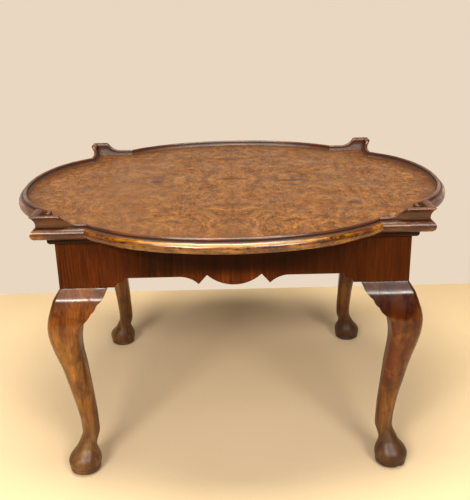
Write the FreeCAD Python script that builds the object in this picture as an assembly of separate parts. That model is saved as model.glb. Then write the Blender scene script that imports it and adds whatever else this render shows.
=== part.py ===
import FreeCAD
import Part
import math
import os

# Tray top tea table: a shaped tray with four bows and four raised corners, on a
# frame with cabriole legs. Millimetres. X runs to the right, Y to the back, Z up;
# the origin is on the floor under the middle of the table.

# ---- frame: leg posts, rails and what covers them
frame_width = 578.0           # over the facings, left to right
frame_depth = 523.0           # over the facings, front to back
leg_height = 456.0            # floor to the underside of the tray
frame_height = 94.0           # rails and facings at their deepest, beside the legs
step_rise = 16.0              # how much higher their lower edge is between the steps
step_gap = 15.5               # from the tip of a knee bracket to the step
rail_thickness = 20.0
facing_thickness = 1.5
post_inner = 50.0             # inner face of a leg post, from the frame's outer face
tenon_length = 22.0
tenon_thickness = 8.0
tenon_shoulder = 14.0
tenon_clearance = 0.1

# ---- centre ornament on the long rails; heights are above the frame's lowest edge
lobe_half_width = 45.0
lobe_height = 0.5
notch_height = 18.5
drop_half_width = 59.0
drop_height = 2.5
drop_run_out = 88.0           # where the hollow of a drop meets the straight edge
drop_hollow = 2.9

# ---- legs; a drop is measured down from the frame, a height up from the floor
shoulder_drop = 20.0          # where the knee rounds over to the frame
shoulder_swell = 12.5         # how far the leg stands out past the frame there
knee_drop = 70.0
knee_swell = 25.3
back_turn_drop = 66.0         # where the back of the knee turns out to the bracket
back_turn = 31.5              # inner face there, from the frame's outer face
back_waist_drop = 100.0
back_waist = 26.5
calf_height = 200.0
calf_swell = 9.0              # how far the calf stands out past the frame
calf_thickness = 40.5
ankle_height = 75.0
ankle_inset = 7.4             # how far the ankle lies inside the frame's outer face
ankle_thickness = 31.0
throat_height = 49.0          # level where the foot swells out of the ankle
foot_height = 22.5            # widest level of the club foot
foot_diameter = 59.0
foot_inset = 9.8              # centre of the foot, from the frame's outer face
foot_neck = 17.0              # how much the front of the foot has drawn in at the throat
foot_heel = 7.0               # how much its back has drawn in there
foot_under = 2.5              # how much it has drawn in at the pad
pad_diameter = 43.0
pad_height = 4.5
leg_step = 11.0               # greatest distance between two sections of a leg

# ---- knee brackets
bracket_length = 26.5         # from the leg post to the tip
bracket_height = 40.0
bracket_tip = 6.0             # upright edge of the tip
bracket_turn_length = 10.0    # from the leg post to the notch between two rounds
bracket_turn_drop = 26.5      # that notch, below the frame
bracket_bulge = 2.2
bracket_thickness = 22.0      # behind the face of the frame
bracket_glue = 0.1
bracket_sections = 8          # points on the curve of its face

# ---- tray
overhang = 30.0               # straight edge of the tray past the frame
bow_rise = 84.0               # how far each bow stands out past the straight edge
long_bow_radius = 412.0       # middle radius of the front and back bows
long_bow_shoulder = 130.0     # where the middle radius ends, from the middle
short_bow_radius = 342.0
short_bow_shoulder = 115.0
core_thickness = 12.5
veneer_thickness = 1.0
veneer_clearance = 0.1        # between the veneer and the rim
leaf_joint_offset = 24.0      # cross joint of the four leaves, behind the middle
core_joint_inset = 71.5       # outer glue joints of the core, inside the frame's outer face

# ---- rim moulding
rim_width = 18.0
nose_radius = 9.5             # half-round nose at the edge of the tray
nose_drop = 1.2               # how far it stands down past the underside of the tray
board_edge = 11.0             # edge of the core, in from the nose
board_glue = 0.15
quirk_depth = 0.9
quirk_height = 0.6
low_rim_height = 23.5         # above the underside of the tray
bead_lean = 1.0
bead_bulge = 1.7
bead_top = 1.6
bead_round = 2.6
low_hollow = 1.2
corner_rim_height = 39.5
hollow_inset = 8.2            # where the tall hollow starts, above the nose
hollow_start = 19.2
corner_hollow = 2.7
lip_inset = 1.3
lip_round = 2.0
corner_top = 3.7
crest_width = 5.1
crest_drop = 6.0
crest_bulge = 1.6
inner_hollow = 2.6
front_corner_flat = 43.0      # level top of a raised corner, from its outer end
back_corner_flat = 30.0
ogee_length = 34.0
ogee_shoulder = 10.0          # radius of the ogee's rounded upper end
corner_length = 84.0          # straight edge of the tray at each corner

# ---- bed moulding under the tray
bed_height = 14.0
bed_projection = 9.5
bed_foot = 5.5
bed_round = 6.3               # height of the rounded lower edge
bed_bulge = 1.1

# ---- blocks and screws
block_leg = 50.0              # how far a corner block runs along each rail past the post
block_thickness = 20.0
glue_block_size = 18.0
glue_block_length = 45.0
long_glue_block_gap = 16.5    # from a corner block to the next glue block
short_glue_block_gap = 44.0
screw_diameter = 4.0
screw_bite = 8.0              # how far a screw goes into the core
screw_head_diameter = 8.4
screw_head_height = 2.6
screw_slot_width = 1.2
screw_slot_depth = 1.2
screw_clearance = 0.2
pilot_spare = 0.4
screw_spread = 13.0           # half the distance between a corner block's two screws

half_width = frame_width / 2
half_depth = frame_depth / 2
tray_half_width = half_width + overhang
tray_half_depth = half_depth + overhang
field_height = leg_height + core_thickness + veneer_thickness
frame_bottom = leg_height - frame_height
bracket_reach = post_inner + bracket_length    # from the frame's end
step_inset = bracket_reach + step_gap
step_radius = step_rise / 2
screw_length = block_thickness + screw_bite
quarter_bulge = 1 - math.sqrt(0.5)    # rise of a quarter circle's arc over its chord, by radius
same_place = 1e-6
up = FreeCAD.Vector(0, 0, 1)


def vec(x, y, z):
    return FreeCAD.Vector(x, y, z)


def outline(place, start, *moves):
    """Face bounded by lines and arcs.

    A move is an end point (a, b), or (a, b, bulge): an arc that stands out by bulge
    to the left of its chord, or to the right if bulge is negative.
    """
    edges = []
    a, b = start
    for move in (*moves, start):
        c, d = move[:2]
        run = math.hypot(c - a, d - b)
        if run < same_place:
            continue
        if len(move) == 3:
            bulge = move[2] / run
            via = ((a + c) / 2 - (d - b) * bulge, (b + d) / 2 + (c - a) * bulge)
            edges.append(Part.Arc(place(a, b), place(*via), place(c, d)).toShape())
        else:
            edges.append(Part.makeLine(place(a, b), place(c, d)))
        a, b = c, d
    return Part.Face(Part.Wire(edges))


def block(x0, x1, y0, y1, z0, z1):
    return Part.makeBox(x1 - x0, y1 - y0, z1 - z0, vec(x0, y0, z0))


def turned(shape, degrees):
    copy = shape.copy()
    copy.rotate(vec(0, 0, 0), up, degrees)
    return copy


def kept_side(point, along, side):
    """Tall block on one side of the upright plane through point in the direction along."""
    size = 4 * (tray_half_width + bow_rise)
    box = Part.makeBox(size, size, size, vec(-size / 2, 0 if side > 0 else -size, -size / 2))
    box.rotate(vec(0, 0, 0), up, math.degrees(math.atan2(along[1], along[0])))
    box.translate(vec(point[0], point[1], 0))
    return box


def save(name, shape):
    """Write one node: a single solid, or a group of separate solids."""
    shapes = shape if isinstance(shape, list) else [shape]
    solids = [solid for item in shapes for solid in item.Solids]
    for solid in solids:
        if not solid.isValid():
            raise ValueError(name + " is not a valid solid")
    result = solids[0] if len(solids) == 1 else Part.makeCompound(solids)
    result.exportStep(os.path.join("parts", name + ".step"))


def smooth(level, knots):
    """Smooth curve through (level, value) knots that doesn't overshoot them."""
    gaps = [b[0] - a[0] for a, b in zip(knots, knots[1:])]
    slopes = [(b[1] - a[1]) / gap for a, b, gap in zip(knots, knots[1:], gaps)]
    tangents = [slopes[0]]
    for before, after in zip(slopes, slopes[1:]):
        level_run = before * after <= 0
        tangents.append(0.0 if level_run else 2 * before * after / (before + after))
    tangents.append(slopes[-1])
    last = len(gaps) - 1
    i = min(last, sum(1 for knot in knots[1:-1] if level > knot[0]))
    t = (level - knots[i][0]) / gaps[i]
    rise = knots[i + 1][1] - knots[i][1]
    start = tangents[i] * gaps[i]
    finish = tangents[i + 1] * gaps[i]
    bend = 3 * rise - 2 * start - finish
    twist = start + finish - 2 * rise
    return knots[i][1] + start * t + bend * t * t + twist * t ** 3


# ---------------------------------------------------------------- rim moulding
# A section is drawn in (inset, height): inset from the nose, height above the
# underside of the tray.

field_rise = core_thickness + veneer_thickness
nose_top = 2 * nose_radius - nose_drop
quirk_inset = nose_radius + quirk_depth
quirk_top = nose_top + quirk_height


def nose_moves():
    """Rebate and half-round nose that every rim moulding shares."""
    return [(board_edge, -nose_drop), (nose_radius, -nose_drop), (nose_radius, nose_top, nose_radius)]


def low_section(place):
    """Nose with a low bead above it, hollowed on the inside."""
    bead_start = quirk_inset + bead_lean
    bead_end = bead_start + bead_top
    return outline(
        place,
        (board_edge, core_thickness),
        *nose_moves(),
        (quirk_inset, quirk_top),
        (bead_start, low_rim_height, bead_bulge),
        (bead_end, low_rim_height),
        (bead_end + bead_round, low_rim_height - bead_round, quarter_bulge * bead_round),
        (rim_width, field_rise, -low_hollow),
        (rim_width, core_thickness),
    )


def tall_section(place):
    """Nose with a tall hollow above it, flaring to a lip, and a hollow inside."""
    top_start = lip_inset + lip_round
    top_end = top_start + corner_top
    return outline(
        place,
        (board_edge, core_thickness),
        *nose_moves(),
        (hollow_inset, hollow_start),
        (lip_inset, corner_rim_height - lip_round, -corner_hollow),
        (top_start, corner_rim_height, quarter_bulge * lip_round),
        (top_end, corner_rim_height),
        (top_end + crest_width, corner_rim_height - crest_drop, crest_bulge),
        (rim_width, field_rise, -inner_hollow),
        (rim_width, core_thickness),
    )


class Bow:
    """Three-centred bow of the tray outline, in (along, out) from the middle of the table."""

    def __init__(self, half_chord, base, middle_radius, shoulder):
        self.half_chord = half_chord
        self.base = base
        self.middle_radius = middle_radius
        self.middle_centre = base + bow_rise - middle_radius
        self.shoulder_angle = math.asin(shoulder / middle_radius)
        sine, cosine = math.sin(self.shoulder_angle), math.cos(self.shoulder_angle)
        rise = base - self.middle_centre
        spare = half_chord ** 2 + rise ** 2 - middle_radius ** 2
        shift = spare / (2 * (half_chord * sine + rise * cosine - middle_radius))
        self.end_radius = middle_radius - shift
        self.end_centre = (shift * sine, self.middle_centre + shift * cosine)
        self.end_angle = math.atan2(half_chord - self.end_centre[0], base - self.end_centre[1])

    def arcs(self, spare_angle):
        """Centre, radius and angles of the three arcs, from left to right."""
        reach = self.end_angle + spare_angle
        x, y = self.end_centre
        return [
            ((-x, y), self.end_radius, -reach, -self.shoulder_angle),
            ((0, self.middle_centre), self.middle_radius, -self.shoulder_angle, self.shoulder_angle),
            ((x, y), self.end_radius, self.shoulder_angle, reach),
        ]

    def mitre(self):
        """Direction of the mitre between the end of the bow and the straight edge."""
        return (math.sin(self.end_angle / 2), math.cos(self.end_angle / 2))

    def moulding(self):
        """Low rim moulding along the bow, mitred at both ends."""
        spare_angle = rim_width / self.end_radius
        pieces = []
        for centre, radius, first, last in self.arcs(spare_angle):
            def place(inset, height, centre=centre, radius=radius, last=last):
                reach = radius - inset
                x = centre[0] + reach * math.sin(last)
                y = centre[1] + reach * math.cos(last)
                return vec(x, y, leg_height + height)
            turn = math.degrees(last - first)
            pieces.append(low_section(place).revolve(vec(centre[0], centre[1], 0), up, turn))
        solid = pieces[0].fuse(pieces[1:])
        mx, my = self.mitre()
        solid = solid.common(kept_side((self.half_chord, self.base), (mx, my), 1))
        return solid.common(kept_side((-self.half_chord, self.base), (-mx, my), -1))

    def panel(self, inset, bottom, thickness):
        """Flat piece under the bow, with its edge inset from the nose."""
        spare_angle = 2 * rim_width / self.end_radius
        edges = []
        for centre, radius, first, last in self.arcs(spare_angle):
            points = []
            for angle in (first, (first + last) / 2, last):
                x = centre[0] + (radius - inset) * math.sin(angle)
                y = centre[1] + (radius - inset) * math.cos(angle)
                points.append(vec(x, y, bottom))
            edges.append(Part.Arc(*points).toShape())
        left = edges[0].Vertexes[0].Point
        right = edges[-1].Vertexes[-1].Point
        left_foot = vec(left.x, 0, bottom)
        right_foot = vec(right.x, 0, bottom)
        edges.append(Part.makeLine(right, right_foot))
        edges.append(Part.makeLine(right_foot, left_foot))
        edges.append(Part.makeLine(left_foot, left))
        return Part.Face(Part.Wire(edges)).extrude(vec(0, 0, thickness))


long_bow = Bow(tray_half_width - corner_length, tray_half_depth, long_bow_radius, long_bow_shoulder)
short_bow = Bow(tray_half_depth - corner_length, tray_half_width, short_bow_radius, short_bow_shoulder)
# Each side of the tray is drawn as the back one and then turned into place.
sides = [
    ("back", 0, long_bow, tray_half_width, tray_half_depth),
    ("left", 90, short_bow, tray_half_depth, tray_half_width),
    ("front", 180, long_bow, tray_half_width, tray_half_depth),
    ("right", 270, short_bow, tray_half_depth, tray_half_width),
]


def ogee_solid(end, width, sign, flat):
    """What stays of a corner moulding: level at the corner, then an ogee down to the low rim."""
    bottom = leg_height - rim_width
    top = leg_height + corner_rim_height
    low = leg_height + low_rim_height
    turn = 2 * math.atan((top - low) / ogee_length)
    tail = ogee_length / math.sin(turn) - ogee_shoulder
    flatness = 1 - math.cos(turn / 2)
    bend = flat + ogee_shoulder * math.sin(turn)
    bend_height = top - ogee_shoulder * (1 - math.cos(turn))
    face = outline(
        lambda along, height: vec(sign * (end - along), width, height),
        (-rim_width, bottom),
        (-rim_width, top + rim_width),
        (flat, top + rim_width),
        (flat, top),
        (bend, bend_height, ogee_shoulder * flatness),
        (flat + ogee_length, low, -tail * flatness),
        (flat + ogee_length, bottom),
    )
    return face.extrude(vec(0, -3 * rim_width, 0))


def corner_strip(bow, end, base, sign, flat):
    """Straight corner moulding, mitred at the corner and where it meets the bow."""
    def at(along):
        return lambda inset, height: vec(sign * along, base - inset, leg_height + height)
    low_start = end - flat - ogee_length
    run = vec(-sign * (low_start - bow.half_chord + rim_width), 0, 0)
    low_part = low_section(at(low_start)).extrude(run)
    tall_run = vec(-sign * (end + rim_width - low_start), 0, 0)
    tall_part = tall_section(at(end + rim_width)).extrude(tall_run)
    tall_part = tall_part.common(ogee_solid(end, base + rim_width, sign, flat))
    strip = tall_part.fuse(low_part)
    mx, my = bow.mitre()
    strip = strip.common(kept_side((sign * bow.half_chord, base), (sign * mx, my), -sign))
    return strip.common(kept_side((sign * end, base), (sign, 1), sign))


def build_rim():
    names = {
        ("back", 1): "corner_rail_back_right_rear", ("back", -1): "corner_rail_back_left_rear",
        ("left", 1): "corner_rail_back_left_side", ("left", -1): "corner_rail_front_left_side",
        ("front", 1): "corner_rail_front_left_face", ("front", -1): "corner_rail_front_right_face",
        ("right", 1): "corner_rail_front_right_side", ("right", -1): "corner_rail_back_right_side",
    }
    for side, turn, bow, end, base in sides:
        save("rim_bow_" + side, turned(bow.moulding(), turn))
        for sign in (1, -1):
            name = names[(side, sign)]
            flat = back_corner_flat if "rail_back" in name else front_corner_flat
            save(name, turned(corner_strip(bow, end, base, sign, flat), turn))


# ---------------------------------------------------------------- tray panel

def tray_panel(inset, bottom, thickness):
    """Flat piece with the outline of the tray, inset from the nose."""
    width = tray_half_width - inset
    depth = tray_half_depth - inset
    panel = block(-width, width, -depth, depth, bottom, bottom + thickness)
    bows = [turned(bow.panel(inset, bottom, thickness), turn) for _, turn, bow, _, _ in sides]
    return panel.fuse(bows).removeSplitter()


def build_tray(screw_holes):
    reach = tray_half_width + bow_rise
    core = tray_panel(board_edge + board_glue, leg_height, core_thickness)
    core = core.cut(screw_holes)
    joint = half_depth - core_joint_inset
    joints = [-reach, -joint, 0, joint, reach]
    names = ["top_board_front", "top_board_front_middle", "top_board_back_middle", "top_board_back"]
    for name, low, high in zip(names, joints, joints[1:]):
        save(name, core.common(block(-reach, reach, low, high, 0, field_height)))
    veneer = tray_panel(rim_width + veneer_clearance, field_height - veneer_thickness, veneer_thickness)
    match = leaf_joint_offset
    for depth_name, y0, y1 in (("front", -reach, match), ("back", match, reach)):
        for width_name, x0, x1 in (("left", -reach, 0), ("right", 0, reach)):
            leaf = veneer.common(block(x0, x1, y0, y1, 0, 2 * field_height))
            save("veneer_" + depth_name + "_" + width_name, leaf)


# ---------------------------------------------------------------- frame

def lower_edge(half_length, ornament):
    """Moves along the lower edge of a rail or facing, from right to left."""
    start = half_length - step_inset
    bend = quarter_bulge * step_radius
    half = [
        (start, frame_bottom),
        (start - step_radius, frame_bottom + step_radius, -bend),
        (start - 2 * step_radius, frame_bottom + step_rise, bend),
    ]
    if not ornament:
        return half + mirrored(half)
    half += [
        (drop_run_out, frame_bottom + step_rise),
        (drop_half_width, frame_bottom + drop_height, -drop_hollow),
        (lobe_half_width, frame_bottom + notch_height),
    ]
    other = mirrored(half)
    lobe = (*other[0], notch_height - lobe_height)
    return half + [lobe] + other[1:]


def mirrored(moves):
    """The same moves on the other side of the middle, in the other direction."""
    points = [(-move[0], move[1]) for move in reversed(moves)]
    bulges = [move[2:] for move in reversed(moves)]
    return [points[0]] + [(*point, *bulge) for point, bulge in zip(points[1:], bulges)]


def frame_board(half_length, end, front, thickness, ornament):
    """Board standing in the frame, with its outer face at front and ends at +-end."""
    face = outline(
        lambda x, z: vec(x, front, z),
        (end, leg_height),
        (end, frame_bottom),
        *lower_edge(half_length, ornament),
        (-end, frame_bottom),
        (-end, leg_height),
    )
    return face.extrude(vec(0, -thickness, 0))


def rail(half_length, base, ornament):
    """Rail with a tenon at each end, drawn as the back one."""
    end = half_length - post_inner
    front = base - facing_thickness
    solid = frame_board(half_length, end, front, rail_thickness, ornament)
    tenon_front = front - (rail_thickness - tenon_thickness) / 2
    tenons = [
        block(start, start + tenon_length, tenon_front - tenon_thickness, tenon_front,
              frame_bottom + tenon_shoulder, leg_height - tenon_shoulder)
        for start in (end, -end - tenon_length)
    ]
    return solid.fuse(tenons).removeSplitter()


# Each side of the frame is drawn as the back one and then turned into place.
frame_sides = [
    ("back", 0, half_width, half_depth),
    ("left", 90, half_depth, half_width),
    ("front", 180, half_width, half_depth),
    ("right", 270, half_depth, half_width),
]


def build_frame():
    for name, turn, half_length, base in frame_sides:
        long_side = name in ("front", "back")
        save("rail_" + name, turned(rail(half_length, base, long_side), turn))
        facing_end = half_length if long_side else half_length - facing_thickness
        facing = frame_board(half_length, facing_end, base, facing_thickness, long_side)
        save("facing_" + name, turned(facing, turn))
        save("bed_moulding_" + name, turned(bed_moulding(half_length, base), turn))


def bed_moulding(half_length, base):
    """Moulding planted on the facing under the tray, mitred at its ends."""
    far = half_length + 2 * bed_projection
    bottom = leg_height - bed_height
    section = outline(
        lambda out, z: vec(-far, base + out, z),
        (bed_projection, leg_height),
        (0, leg_height),
        (0, bottom),
        (bed_foot, bottom),
        (bed_projection, bottom + bed_round, -bed_bulge),
    )
    solid = section.extrude(vec(2 * far, 0, 0))
    solid = solid.common(kept_side((half_length, base), (1, 1), 1))
    return solid.common(kept_side((-half_length, base), (-1, 1), -1))


# ---------------------------------------------------------------- legs
# A leg is drawn at the front left corner in (u, v): u to the right and v to the
# back from the outer corner of the frame.

foot_front = foot_diameter / 2 - foot_inset
foot_back = foot_diameter / 2 + foot_inset
knee_height = frame_bottom - knee_drop
back_turn_height = frame_bottom - back_turn_drop
bracket_foot_height = frame_bottom - bracket_height

# (level, distance in from the frame's outer face) of the leg's two faces
front_curve = [
    (pad_height, foot_under - foot_front), (foot_height, -foot_front),
    (throat_height, foot_neck - foot_front), (ankle_height, ankle_inset),
    (calf_height, -calf_swell), (knee_height, -knee_swell),
    (frame_bottom - shoulder_drop, -shoulder_swell), (frame_bottom, 0.0),
]
back_curve = [
    (pad_height, foot_back - foot_under), (foot_height, foot_back),
    (throat_height, foot_back - foot_heel), (ankle_height, ankle_inset + ankle_thickness),
    (calf_height, calf_thickness - calf_swell), (frame_bottom - back_waist_drop, back_waist),
    (back_turn_height, back_turn), (bracket_foot_height, post_inner), (frame_bottom, post_inner),
]
# Radius of the section's corners as a share of its width, from the pad to the frame
round_levels = [
    pad_height, throat_height, ankle_height, calf_height, knee_height, bracket_foot_height, frame_bottom,
]
front_rounds = [0.49, 0.49, 0.48, 0.40, 0.30, 0.17, 0.05]
side_rounds = [0.49, 0.47, 0.46, 0.42, 0.20, 0.015, 0.015]
back_rounds = [0.49, 0.47, 0.46, 0.30, 0.16, 0.06, 0.03]


def leg_section(z):
    """Rounded square section of the leg at a level."""
    near = smooth(z, front_curve)
    far = smooth(z, back_curve)
    size = far - near
    front, side, back = [
        size * smooth(z, list(zip(round_levels, shares)))
        for shares in (front_rounds, side_rounds, back_rounds)
    ]
    face = outline(
        lambda u, v: vec(u, v, z),
        (near + front, near),
        (far - side, near),
        (far, near + side, -quarter_bulge * side),
        (far, far - back),
        (far - back, far, -quarter_bulge * back),
        (near + side, far),
        (near, far - side, -quarter_bulge * side),
        (near, near + front),
        (near + front, near, -quarter_bulge * front),
    )
    return face.OuterWire


def section_levels():
    """Levels of the leg's sections: every turning level, and even steps between them."""
    marks = sorted({level for level, _ in front_curve + back_curve})
    levels = [marks[0]]
    for low, high in zip(marks, marks[1:]):
        steps = math.ceil((high - low) / leg_step)
        levels += [low + (high - low) * (i + 1) / steps for i in range(steps)]
    return levels


def shaft_solid():
    """Curved part of the leg: one loft for each stretch between two sharp turns."""
    levels = section_levels()
    turns = [pad_height, back_turn_height, bracket_foot_height, frame_bottom]
    lofts = []
    for low, high in zip(turns, turns[1:]):
        stretch = [z for z in levels if low - same_place < z < high + same_place]
        lofts.append(Part.makeLoft([leg_section(z) for z in stretch], True, False))
    return lofts[0].fuse(lofts[1:])


def leg_solid():
    """Post, knee, ankle and foot in one piece, with mortises for the two tenons."""
    shaft = shaft_solid()
    far = 2 * post_inner
    past_post = [
        block(post_inner, far, -far, far, back_turn_height, leg_height),
        block(-far, far, post_inner, far, back_turn_height, leg_height),
    ]
    shaft = shaft.cut(past_post)
    pad = Part.makeCylinder(pad_diameter / 2, pad_height, vec(foot_inset, foot_inset, 0))
    post = block(facing_thickness, post_inner, facing_thickness, post_inner, frame_bottom, leg_height)
    leg = shaft.fuse([pad, post])
    middle = facing_thickness + rail_thickness / 2
    half = tenon_thickness / 2 + tenon_clearance
    inner = post_inner - tenon_length - tenon_clearance
    low = frame_bottom + tenon_shoulder - tenon_clearance
    high = leg_height - tenon_shoulder + tenon_clearance
    mortise = block(inner, post_inner, middle - half, middle + half, low, high)
    other = block(middle - half, middle + half, inner, post_inner, low, high)
    return leg.cut([mortise, other])


def bracket_solid():
    """Knee bracket along u: the knee's face carried on to a shaped tip."""
    foot = post_inner + bracket_glue
    bottom = bracket_foot_height
    step = bracket_height / (bracket_sections - 1)
    levels = [bottom + step * i for i in range(bracket_sections)]
    points = [vec(foot, smooth(z, front_curve), z) for z in levels]
    curve = Part.BSplineCurve()
    curve.interpolate(points)
    low_back = vec(foot, bracket_thickness, bottom)
    high_back = vec(foot, bracket_thickness, frame_bottom)
    edges = [curve.toShape(), Part.makeLine(points[-1], high_back),
             Part.makeLine(high_back, low_back), Part.makeLine(low_back, points[0])]
    body = Part.Face(Part.Wire(edges)).extrude(vec(bracket_reach - foot, 0, 0))
    shape = outline(
        lambda u, z: vec(u, -2 * knee_swell, z),
        (foot, frame_bottom),
        (bracket_reach, frame_bottom),
        (bracket_reach, frame_bottom - bracket_tip),
        (post_inner + bracket_turn_length, frame_bottom - bracket_turn_drop, bracket_bulge),
        (foot, bottom, bracket_bulge),
    )
    return body.common(shape.extrude(vec(0, 4 * knee_swell, 0)))


def at_corner(shape, left, front):
    """Place a shape drawn at the front left corner at any corner."""
    copy = shape.copy()
    copy.translate(vec(-half_width, -half_depth, 0))
    if not left:
        copy = copy.mirror(vec(0, 0, 0), vec(1, 0, 0))
    if not front:
        copy = copy.mirror(vec(0, 0, 0), vec(0, 1, 0))
    return copy


corners = [
    ("front_left", True, True), ("front_right", False, True),
    ("back_left", True, False), ("back_right", False, False),
]


def build_legs():
    leg = leg_solid()
    bracket = bracket_solid()
    diagonal = vec(1, -1, 0).normalize()
    other_bracket = bracket.mirror(vec(0, 0, 0), diagonal)
    for name, left, front in corners:
        save("leg_" + name, at_corner(leg, left, front))
        facing = "face" if front else "rear"
        save("knee_bracket_" + name + "_" + facing, at_corner(bracket, left, front))
        save("knee_bracket_" + name + "_side", at_corner(other_bracket, left, front))


# ---------------------------------------------------------------- blocks and screws

rail_back = facing_thickness + rail_thickness
block_end = post_inner + block_leg


def screw_places():
    """Centres of the two screws of a corner block, in (u, v)."""
    near = post_inner
    far = (rail_back + block_end) / 2
    middle = (near + far) / 2
    return [(middle + screw_spread, middle - screw_spread), (middle - screw_spread, middle + screw_spread)]


def screw(u, v):
    """Slotted countersunk screw, driven up from under the corner block."""
    base = leg_height - block_thickness
    radius = screw_diameter / 2
    head = Part.makeCone(screw_head_diameter / 2, radius, screw_head_height, vec(u, v, base))
    shank = Part.makeCylinder(radius, screw_length - screw_head_height, vec(u, v, base + screw_head_height))
    slot = block(u - screw_head_diameter, u + screw_head_diameter,
                 v - screw_slot_width / 2, v + screw_slot_width / 2, base, base + screw_slot_depth)
    return head.fuse(shank).cut(slot)


def screw_hole(u, v):
    """Countersunk hole through the corner block and on into the core."""
    base = leg_height - block_thickness
    radius = screw_diameter / 2 + screw_clearance
    head = screw_head_diameter / 2 + screw_clearance
    sink = Part.makeCone(head, radius, screw_head_height, vec(u, v, base))
    bore = Part.makeCylinder(radius, screw_length + pilot_spare, vec(u, v, base))
    return sink.fuse(bore)


def corner_block_solid():
    """Block fitted round the post in the inside corner of the frame."""
    face = outline(
        lambda u, v: vec(u, v, leg_height - block_thickness),
        (post_inner, post_inner),
        (post_inner, rail_back),
        (block_end, rail_back),
        (rail_back, block_end),
        (rail_back, post_inner),
    )
    solid = face.extrude(vec(0, 0, block_thickness))
    return solid.cut([screw_hole(u, v) for u, v in screw_places()])


def glue_block(middle, base):
    """Triangular block rubbed into the angle between a rail and the tray."""
    back = base - rail_back
    face = outline(
        lambda y, z: vec(middle - glue_block_length / 2, y, z),
        (back, leg_height),
        (back, leg_height - glue_block_size),
        (back - glue_block_size, leg_height),
    )
    return face.extrude(vec(glue_block_length, 0, 0))


def build_fixings():
    corner_block = corner_block_solid()
    screws = []
    holes = []
    for name, left, front in corners:
        save("corner_block_" + name, at_corner(corner_block, left, front))
        for u, v in screw_places():
            screws.append(at_corner(screw(u, v), left, front))
            holes.append(at_corner(screw_hole(u, v), left, front))
    save("top_screws", screws)
    glue_blocks = []
    for side, turn, half_length, base in frame_sides:
        long_side = side in ("front", "back")
        gap = long_glue_block_gap if long_side else short_glue_block_gap
        outer = half_length - block_end - gap - glue_block_length / 2
        for middle in (-outer, 0, outer) if long_side else (-outer, outer):
            glue_blocks.append(turned(glue_block(middle, base), turn))
    save("glue_blocks", glue_blocks)
    return holes


os.makedirs("parts", exist_ok=True)
build_tray(build_fixings())
build_rim()
build_frame()
build_legs()
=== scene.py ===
import math
import bmesh
import bpy
import numpy as np
from mathutils import Matrix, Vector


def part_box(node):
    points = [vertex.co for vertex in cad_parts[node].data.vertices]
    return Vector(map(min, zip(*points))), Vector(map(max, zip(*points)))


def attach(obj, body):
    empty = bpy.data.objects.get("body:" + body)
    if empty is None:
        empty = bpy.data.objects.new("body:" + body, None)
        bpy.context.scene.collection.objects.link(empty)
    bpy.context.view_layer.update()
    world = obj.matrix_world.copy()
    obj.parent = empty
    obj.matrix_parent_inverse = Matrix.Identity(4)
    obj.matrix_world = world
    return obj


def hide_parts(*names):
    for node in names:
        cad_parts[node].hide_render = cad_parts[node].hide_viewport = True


# Tray top tea table in walnut. Metres: X to the right, Y to the back, Z up, with the
# origin on the floor under the middle of the tray.
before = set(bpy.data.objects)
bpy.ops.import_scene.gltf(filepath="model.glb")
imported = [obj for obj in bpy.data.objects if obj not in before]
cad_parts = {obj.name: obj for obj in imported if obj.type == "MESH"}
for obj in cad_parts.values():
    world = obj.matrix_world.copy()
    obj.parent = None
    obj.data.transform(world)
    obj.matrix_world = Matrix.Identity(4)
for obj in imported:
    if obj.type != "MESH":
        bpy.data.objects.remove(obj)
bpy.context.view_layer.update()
mm = 0.001

# ---- Core of the tray: softwood boards, edge-jointed, planed and left bare
# underneath, where they have gone brown. They are the frame's own pieces; here they
# only take their finish.


def tint(red, green, blue):
    """Colour as a screen shows it, 0 to 255, made linear for a shader socket: the
    screen's own curve (power 2.4, with a straight foot) undone."""
    shown = np.array([red, green, blue]) / 255
    linear = np.where(shown > 0.04045, ((shown + 0.055) / 1.055) ** 2.4, shown / 12.92)
    return (*linear.tolist(), 1.0)


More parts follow.
